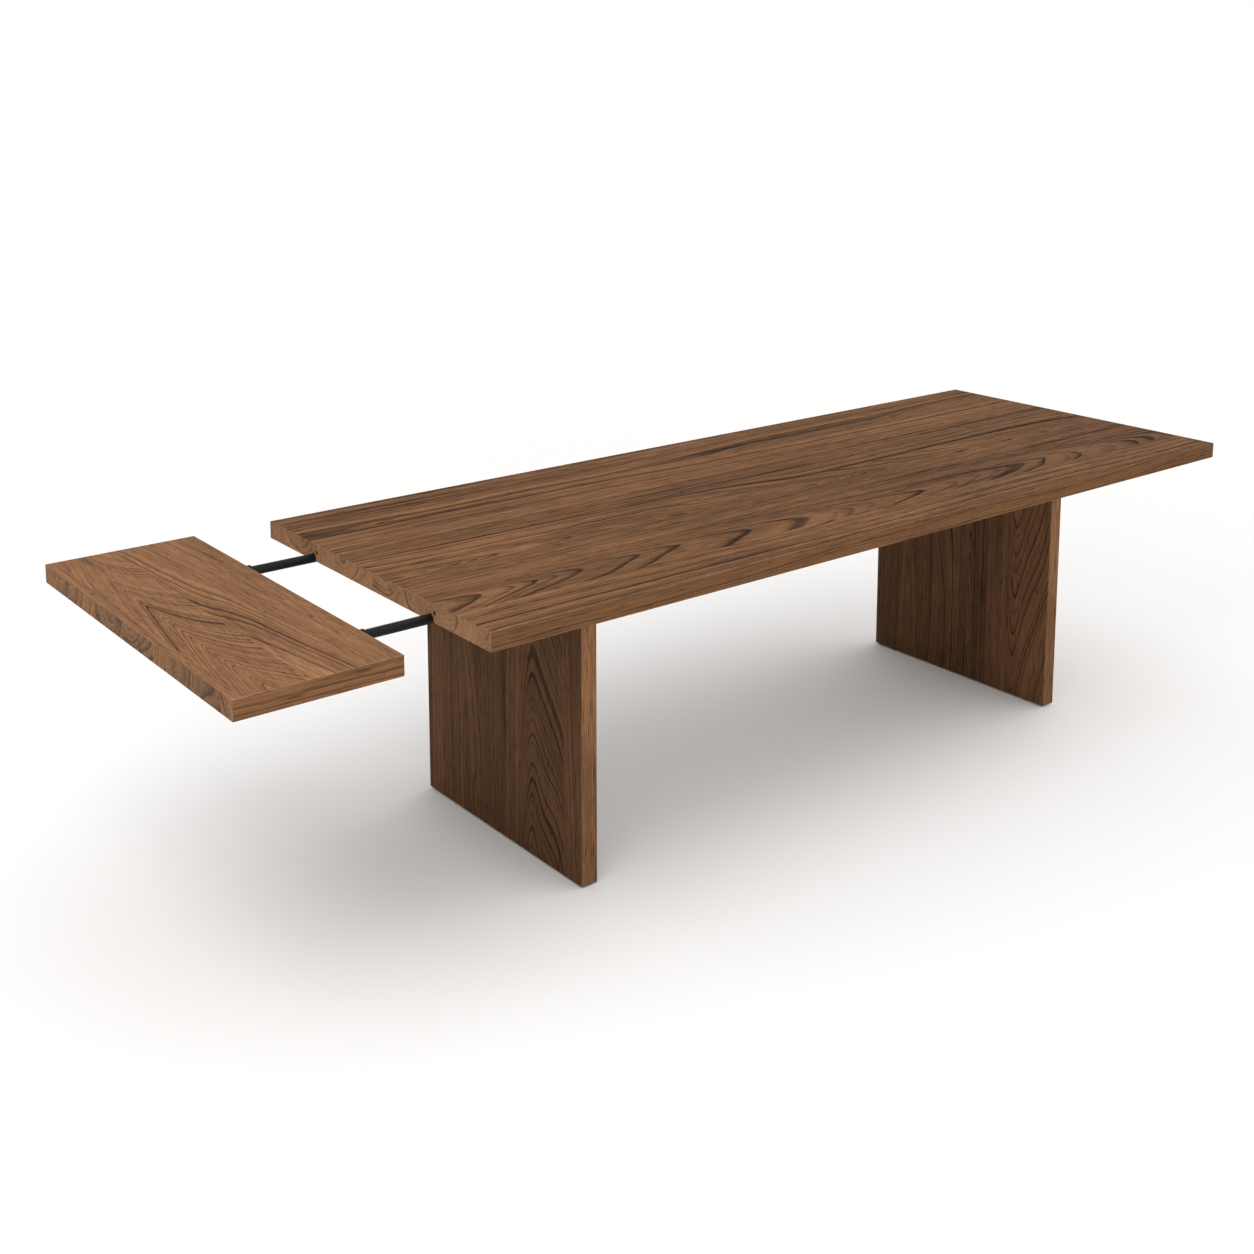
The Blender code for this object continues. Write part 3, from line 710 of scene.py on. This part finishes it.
# Moulded acetal: black, waxy, a little duller where it has been handled
acetalLook = {
    "color": "#121213",
    "clouded": "#242425",
    "roughness": (0.30, 0.50),
    "metallic": 0.0,
    "ior": 1.48,
    "scale": 260.0,  # clouds of about 4 mm
    "detail": 4.0,
    "bump": 0.00003,
}
acetal = cloudedFinish("mouldedBlackAcetal", acetalLook)
for name in nodes:
    if name.startswith(("leg_bracket", "stiffener")) and "screw" not in name:
        giveMaterial(name, coatedSteel)
print("metal and plastic finishes ready")


# Turns a shape on its axis from rings of (radius, height), pulled out one after another from a
# first circle. A hollow one runs back to its first ring and is joined there
def turnPiece(name, rings, segments, hollow=False):
    bpy.ops.object.select_all(action="DESELECT")
    radius, height = rings[0]
    fill = "NOTHING" if hollow else "NGON"
    bpy.ops.mesh.primitive_circle_add(
        vertices=segments, radius=radius, fill_type=fill, location=(0, 0, height)
    )
    bpy.ops.object.transform_apply(location=True)
    piece = bpy.context.object
    piece.name = name
    bpy.ops.object.mode_set(mode="EDIT")
    bpy.ops.mesh.select_all(action="SELECT")
    for newRadius, newHeight in rings[1:] + rings[:1] * hollow:
        bpy.ops.mesh.extrude_region_move(
            TRANSFORM_OT_translate={"value": (0, 0, newHeight - height)}
        )
        ratio = newRadius / radius
        bpy.ops.transform.resize(value=(ratio, ratio, 1.0), center_override=(0, 0, newHeight))
        radius, height = newRadius, newHeight
    bpy.ops.mesh.select_all(action="SELECT")
    bpy.ops.mesh.remove_doubles(threshold=0.00001)
    bpy.ops.mesh.normals_make_consistent(inside=False)
    bpy.ops.object.mode_set(mode="OBJECT")
    return piece


# A copy with its own mesh, turned and put in place, then handed to its body
def placePiece(model, name, at, turn, material, body, stands):
    bpy.ops.object.select_all(action="DESELECT")
    piece = bpy.data.objects.new(name, model.data.copy())
    scene.collection.objects.link(piece)
    piece.location = at
    piece.rotation_euler = turn
    piece.select_set(True)
    bpy.context.view_layer.objects.active = piece
    bpy.ops.object.transform_apply(location=True, rotation=True, scale=True)
    bpy.ops.object.shade_smooth_by_angle(angle=math.radians(32))
    piece.data.materials.clear()
    piece.data.materials.append(material)
    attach(piece, body)
    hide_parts(stands)
    return piece


# A node's box at rest: its two corners and its middle
def boxOf(node):
    low, high = (Vector(corner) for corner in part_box(node))
    return low, high, (low + high) / 2


quarter = math.pi / 2
smallGap = 0.0001  # two places closer than this are the same

# Runner tubes: drawn steel tube, its cut ends deburred before coating
tubeLook = {"diameter": 0.022, "wall": 0.002, "deburr": 0.0004, "segments": 64}
low, high, middle = boxOf("runner_tube_front")
length = high.x - low.x
outer = tubeLook["diameter"] / 2
inner = outer - tubeLook["wall"]
burr = tubeLook["deburr"]
tubeRings = [
    (outer, burr),
    (outer, length * 0.5),
    (outer, length - burr),
    (outer - burr, length),
    (inner + burr, length),
    (inner, length - burr),
    (inner, burr),
    (inner + burr, 0.0),
    (outer - burr, 0.0),
]
tubeModel = turnPiece("tubeModel", tubeRings, tubeLook["segments"], hollow=True)

# Push-in tube caps with a rounded flange and a ribbed plug
capLook = {"plugRib": 0.0003, "round": 0.0007, "segments": 48}
low, high, middle = boxOf("tube_cap_front_outer")
capLength = high.x - low.x
plug = inner - 0.0003
rounding = capLook["round"]
capRings = [
    (0.004, 0.0),
    (outer - rounding - 0.0004, 0.0),
    (outer - rounding * 0.3, rounding * 0.3),
    (outer, rounding),
    (outer, 0.00185),
    (plug, 0.00185),
    (plug, 0.0040),
    (plug - capLook["plugRib"], 0.0044),
    (plug, 0.0048),
    (plug, 0.0072),
    (plug - capLook["plugRib"], 0.0076),
    (plug, 0.0080),
    (plug, capLength - 0.0008),
    (plug - 0.0008, capLength),
]
capModel = turnPiece("capModel", capRings, capLook["segments"])

# Locating pins: turned, with a bullet nose that finds its socket
pinLook = {"diameter": 0.010, "segments": 40, "steps": 8}
low, high, middle = boxOf("locating_pin_front")
pinLength = high.x - low.x
pinRadius = pinLook["diameter"] / 2
pinRings = [(pinRadius - 0.0005, 0.0), (pinRadius, 0.0005), (pinRadius, pinLength - pinRadius)]
for step in range(1, pinLook["steps"]):
    swing = quarter * step / pinLook["steps"]
    pinRings.append(
        (pinRadius * math.cos(swing), pinLength - pinRadius + pinRadius * math.sin(swing))
    )
pinRings.append((pinRadius * 0.05, pinLength))
pinModel = turnPiece("pinModel", pinRings, pinLook["segments"])

for side in ("front", "back"):
    for model, name, node in (
        (tubeModel, "tube_", "runner_tube_"), (pinModel, "pin_", "locating_pin_")
    ):
        low, high, middle = boxOf(node + side)
        at = (low.x, middle.y, middle.z)
        turn = (0, quarter, 0)
        placePiece(
            model, name + side, at, turn, coatedTube, "leaf_body", node + side
        )
    for end in ("outer", "inner"):
        node = f"tube_cap_{side}_{end}"
        low, high, middle = boxOf(node)
        at = (low.x if end == "outer" else high.x, middle.y, middle.z)
        turn = (0, quarter if end == "outer" else -quarter, 0)
        placePiece(
            capModel, f"cap_{side}_{end}", at, turn, acetal, "leaf_body", node
        )
print("tubes, caps and pins turned")


# Pan-head screws with a six-lobed drive. The head stands at zero and the shank points up
screwLook = {
    "shank": 0.0024,
    "head": 0.0049,
    "headHeight": 0.0030,
    "socket": 0.0026,
    "socketDepth": 0.0017,
    "segments": 24,
}


def makeScrew(name, length, look):
    shank, head, tall = look["shank"], look["head"], look["headHeight"]
    socket, deep = look["socket"], look["socketDepth"]
    rings = [
        (shank * 0.08, length),
        (shank * 0.80, length - shank * 1.4),
        (shank, length - shank * 2.2),
        (shank, tall),
        (head * 0.97, tall),
        (head, tall * 0.93),
        (head, tall * 0.62),
        (head * 0.96, tall * 0.34),
        (head * 0.86, tall * 0.12),
        (head * 0.70, 0.0),
        (socket, 0.0),
    ]
    screw = turnPiece(name, rings, look["segments"])
    # the rim of the socket is pinched at six places and pushed in
    bpy.ops.object.mode_set(mode="EDIT")
    bpy.ops.mesh.select_all(action="DESELECT")
    bpy.ops.object.mode_set(mode="OBJECT")
    for vertex in screw.data.vertices:
        flat = math.hypot(vertex.co.x, vertex.co.y)
        share = (math.atan2(vertex.co.y, vertex.co.x) / (math.pi / 3)) % 1.0
        onRim = abs(flat - socket) < smallGap and abs(vertex.co.z) < smallGap
        vertex.select = onRim and 0.4 < share < 0.6
    bpy.ops.object.mode_set(mode="EDIT")
    bpy.ops.transform.resize(value=(0.74, 0.74, 1.0), center_override=(0, 0, 0))
    bpy.ops.mesh.select_all(action="DESELECT")
    bpy.ops.object.mode_set(mode="OBJECT")
    for face in screw.data.polygons:
        middle = face.center
        face.select = abs(middle.z) < smallGap and math.hypot(middle.x, middle.y) < 4 * smallGap
    bpy.ops.object.mode_set(mode="EDIT")
    bpy.ops.mesh.select_mode(type="FACE")
    bpy.ops.mesh.extrude_region_move(TRANSFORM_OT_translate={"value": (0, 0, deep)})
    bpy.ops.transform.resize(value=(0.86, 0.86, 1.0), center_override=(0, 0, deep))
    bpy.ops.mesh.select_mode(type="VERT")
    bpy.ops.mesh.select_all(action="SELECT")
    bpy.ops.mesh.normals_make_consistent(inside=False)
    bpy.ops.object.mode_set(mode="OBJECT")
    return screw


# each screw turns from its CAD node's box: its head is at the end that stands proud of the wood
screwModels = {}
for name in sorted(nodes):
    if "_screw_" not in name:
        continue
    low, high, middle = boxOf(name)
    size = high - low
    sideways = size.x > size.z
    length = round(max(size), 4)
    if length not in screwModels:
        screwModels[length] = makeScrew(f"screwModel{len(screwModels)}", length, screwLook)
    if not sideways:
        at, turn = (middle.x, middle.y, low.z), (0, 0, 0)
    elif name.startswith("leg_screw_leaf_end"):
        at, turn = (high.x, middle.y, middle.z), (0, -quarter, 0)
    else:
        at, turn = (low.x, middle.y, middle.z), (0, quarter, 0)
    body = "leaf_body" if name.startswith("tube_screw") else "table"
    newName = name.replace("_screw_", "_fixing_")
    placePiece(screwModels[length], newName, at, turn, zinc, body, name)
print("screws placed")

# Levelling feet: a moulded glide with an eased rim, on a short stem
footLook = {"radius": 0.018, "plate": 0.0037, "ease": 0.0009, "stem": 0.004, "segments": 56}
low, high, middle = boxOf("levelling_foot_leaf_end_front")
footTall = high.z - low.z
ease = footLook["ease"]
footRings = [
    (footLook["radius"] * 0.55, 0.0),
    (footLook["radius"] - ease, 0.0),
    (footLook["radius"] - ease * 0.3, ease * 0.3),
    (footLook["radius"], ease),
    (footLook["radius"], footLook["plate"] - ease),
    (footLook["radius"] - ease * 0.3, footLook["plate"] - ease * 0.3),
    (footLook["radius"] - ease, footLook["plate"]),
    (footLook["stem"], footLook["plate"]),
    (footLook["stem"], footTall - 0.0008),
    (footLook["stem"] - 0.0008, footTall),
]
footModel = turnPiece("footModel", footRings, footLook["segments"])
for name in sorted(nodes):
    if name.startswith("levelling_foot"):
        low, high, middle = boxOf(name)
        at = (middle.x, middle.y, low.z)
        newName = name.replace("levelling_foot", "glide")
        placePiece(footModel, newName, at, (0, 0, 0), acetal, "table", name)
print("feet placed")

# Guide blocks: moulded acetal, its nose sloping up to the table so that the block stays out of
# sight from the end, with a half-round channel that the tube slides in and two screw holes
blockLook = {
    "nose": 0.017, "edge": 0.0010, "slide": 0.0003, "screwHole": 0.0027, "screwSpacing": 0.041
}
low, high, middle = boxOf("guide_block_front_outer")
blockSize = high - low
axisHeight = boxOf("runner_tube_front")[2].z - high.z
bpy.ops.object.select_all(action="DESELECT")
bpy.ops.mesh.primitive_cube_add(size=1.0, location=(0, 0, -blockSize.z / 2), scale=blockSize)
bpy.ops.object.transform_apply(location=True, scale=True)
blockModel = bpy.context.object
blockModel.name = "blockModel"
bpy.ops.object.mode_set(mode="EDIT")
bpy.ops.mesh.select_all(action="DESELECT")
bpy.ops.object.mode_set(mode="OBJECT")
for vertex in blockModel.data.vertices:
    vertex.select = vertex.co.x < 0 and vertex.co.z < -blockSize.z / 2
bpy.ops.object.mode_set(mode="EDIT")
bpy.ops.transform.translate(value=(blockLook["nose"], 0, 0))
bpy.ops.mesh.select_all(action="SELECT")
bpy.ops.mesh.bevel(offset=blockLook["edge"], segments=3, affect="EDGES")
bpy.ops.object.mode_set(mode="OBJECT")
half = blockLook["screwSpacing"] / 2
tools = [
    (
        tubeLook["diameter"] / 2 + blockLook["slide"],
        blockSize.x * 1.5,
        (0, 0, axisHeight),
        (0, quarter, 0),
    ),
    (blockLook["screwHole"], blockSize.z * 3, (0, half, 0), (0, 0, 0)),
    (blockLook["screwHole"], blockSize.z * 3, (0, -half, 0), (0, 0, 0)),
]
for radius, depth, at, turn in tools:
    bpy.ops.object.select_all(action="DESELECT")
    bpy.ops.mesh.primitive_cylinder_add(
        vertices=64, radius=radius, depth=depth, location=at, rotation=turn
    )
    cutter = bpy.context.object
    bpy.ops.object.select_all(action="DESELECT")
    blockModel.select_set(True)
    bpy.context.view_layer.objects.active = blockModel
    bore = blockModel.modifiers.new("bore", "BOOLEAN")
    bore.operation = "DIFFERENCE"
    bore.object = cutter
    bpy.ops.object.modifier_apply(modifier="bore")
    bpy.data.objects.remove(cutter)
for side in ("front", "back"):
    for end in ("outer", "inner"):
        node = f"guide_block_{side}_{end}"
        low, high, middle = boxOf(node)
        at = (middle.x, middle.y, high.z)
        turn = (0, 0, 0 if end == "outer" else math.pi)
        placePiece(
            blockModel, f"guide_{side}_{end}", at, turn, acetal, "table", node
        )
print("guide blocks placed")
for model in (tubeModel, capModel, pinModel, footModel, blockModel, *screwModels.values()):
    bpy.data.objects.remove(model)

# Pale seamless floor
floorLook = {
    "size": 400.0,
    "color": "#F2F1F0",
    "farColor": "#FBFBFA",
    "near": 3.0,  # the floor pales between these distances, so that no horizon shows
    "far": 9.0,
    "roughness": (0.76, 0.84),
}
bpy.ops.object.select_all(action="DESELECT")
bpy.ops.mesh.primitive_plane_add(size=floorLook["size"], location=(0, 0, 0))
floor = bpy.context.object
floor.name = "studioFloor"
floorMaterial, floorTree = newMaterial("mattePaintedFloor")
spot = addNode(floorTree, "ShaderNodeTexCoord").outputs["Object"]
away = addNode(floorTree, "ShaderNodeVectorMath", {0: spot}, operation="LENGTH").outputs["Value"]
away = addNode(
    floorTree, "ShaderNodeMapRange", {0: away, 1: floorLook["near"], 2: floorLook["far"]}
).outputs[0]
mottle = addNode(
    floorTree, "ShaderNodeTexNoise", {"Vector": spot, "Scale": 3.0, "Detail": 3.0}
).outputs[0]
paint = addNode(
    floorTree,
    "ShaderNodeMix",
    {0: away, 6: hexColor(floorLook["color"]), 7: hexColor(floorLook["farColor"])},
    data_type="RGBA",
).outputs[2]
dull = addNode(
    floorTree,
    "ShaderNodeMapRange",
    {0: mottle, 3: floorLook["roughness"][0], 4: floorLook["roughness"][1]},
).outputs[0]
shader = addNode(floorTree, "ShaderNodeBsdfPrincipled", {"Base Color": paint, "Roughness": dull})
shader.inputs["Specular IOR Level"].default_value = 0.1
addNode(floorTree, "ShaderNodeOutputMaterial", {0: shader.outputs[0]})
floor.data.materials.append(floorMaterial)

# Studio light: a bright ceiling that falls off to the sides, and one large soft key
lightLook = {
    "backdrop": 1.0,
    "overhead": 1.0,  # brightness straight up, fading towards the sides
    # azimuth, elevation and strength of each wide glow
    "sides": [(0, 15, 3.1), (270, 15, 1.9), (90, 15, 1.45)],
    "keyPower": 62.0,
    "keySize": 2.4,
    "keyFrom": (-3.0, -1.0, 3.5),
    "keyAt": (0.0, 0.0, 0.6),
}
world = bpy.data.worlds.new("studio")
scene.world = world
world.use_nodes = True
world.node_tree.nodes.clear()
sky = world.node_tree
skyWay = addNode(sky, "ShaderNodeTexCoord").outputs["Generated"]
skyUp = addNode(sky, "ShaderNodeSeparateXYZ", {0: skyWay}).outputs[2]
skyUp = addNode(sky, mathNode, {0: skyUp, 1: 0.0}, operation="MAXIMUM").outputs[0]
skyUp = addNode(sky, mathNode, {0: skyUp, 1: 4.0}, operation="POWER").outputs[0]
skyLevel = addNode(
    sky, mathNode, {0: skyUp, 1: lightLook["overhead"]}, operation="MULTIPLY"
).outputs[0]
for azimuth, elevation, strength in lightLook["sides"]:
    turn, rise = math.radians(azimuth), math.radians(elevation)
    way = (math.cos(turn) * math.cos(rise), math.sin(turn) * math.cos(rise), math.sin(rise))
    glow = addNode(
        sky, "ShaderNodeVectorMath", {0: skyWay, 1: way}, operation="DOT_PRODUCT"
    ).outputs["Value"]
    glow = addNode(sky, mathNode, {0: glow, 1: 0.0}, operation="MAXIMUM").outputs[0]
    glow = addNode(sky, mathNode, {0: glow, 1: 4.0}, operation="POWER").outputs[0]
    skyLevel = addNode(
        sky, mathNode, {0: glow, 1: strength, 2: skyLevel}, operation="MULTIPLY_ADD"
    ).outputs[0]
seen = addNode(sky, "ShaderNodeLightPath").outputs["Is Camera Ray"]
skyLevel = addNode(
    sky, "ShaderNodeMix", {0: seen, 2: skyLevel, 3: lightLook["backdrop"]}
).outputs[0]
background = addNode(
    sky, "ShaderNodeBackground", {"Color": (1.0, 1.0, 1.0, 1.0), "Strength": skyLevel}
).outputs[0]
addNode(sky, "ShaderNodeOutputWorld", {0: background})

keyData = bpy.data.lights.new("keySoftbox", "AREA")
keyData.energy = lightLook["keyPower"]
keyData.shape = "SQUARE"
keyData.size = lightLook["keySize"]
key = bpy.data.objects.new("keySoftbox", keyData)
scene.collection.objects.link(key)
key.location = lightLook["keyFrom"]
key.rotation_euler = (Vector(lightLook["keyAt"]) - key.location).to_track_quat("-Z", "Y").to_euler()

# Camera: a long normal lens from standing height, a little above the table
cameraLook = {
    "lens": 46.22,
    "shift": (0.0, -0.25),
    "from": (-2.730, -3.119, 1.905),
    "heading": 51.788,
    "tilt": 9.143,
}
cameraData = bpy.data.cameras.new("camera")
cameraData.lens = cameraLook["lens"]
cameraData.sensor_width = 36.0
cameraData.shift_x, cameraData.shift_y = cameraLook["shift"]
cameraData.clip_end = 1000.0
camera = bpy.data.objects.new("camera", cameraData)
scene.collection.objects.link(camera)
camera.location = cameraLook["from"]
camera.rotation_euler = (
    math.radians(90 - cameraLook["tilt"]), 0.0, math.radians(cameraLook["heading"] - 90)
)
scene.camera = camera
scene.view_settings.view_transform = "Standard"
print("stage, light and camera ready")
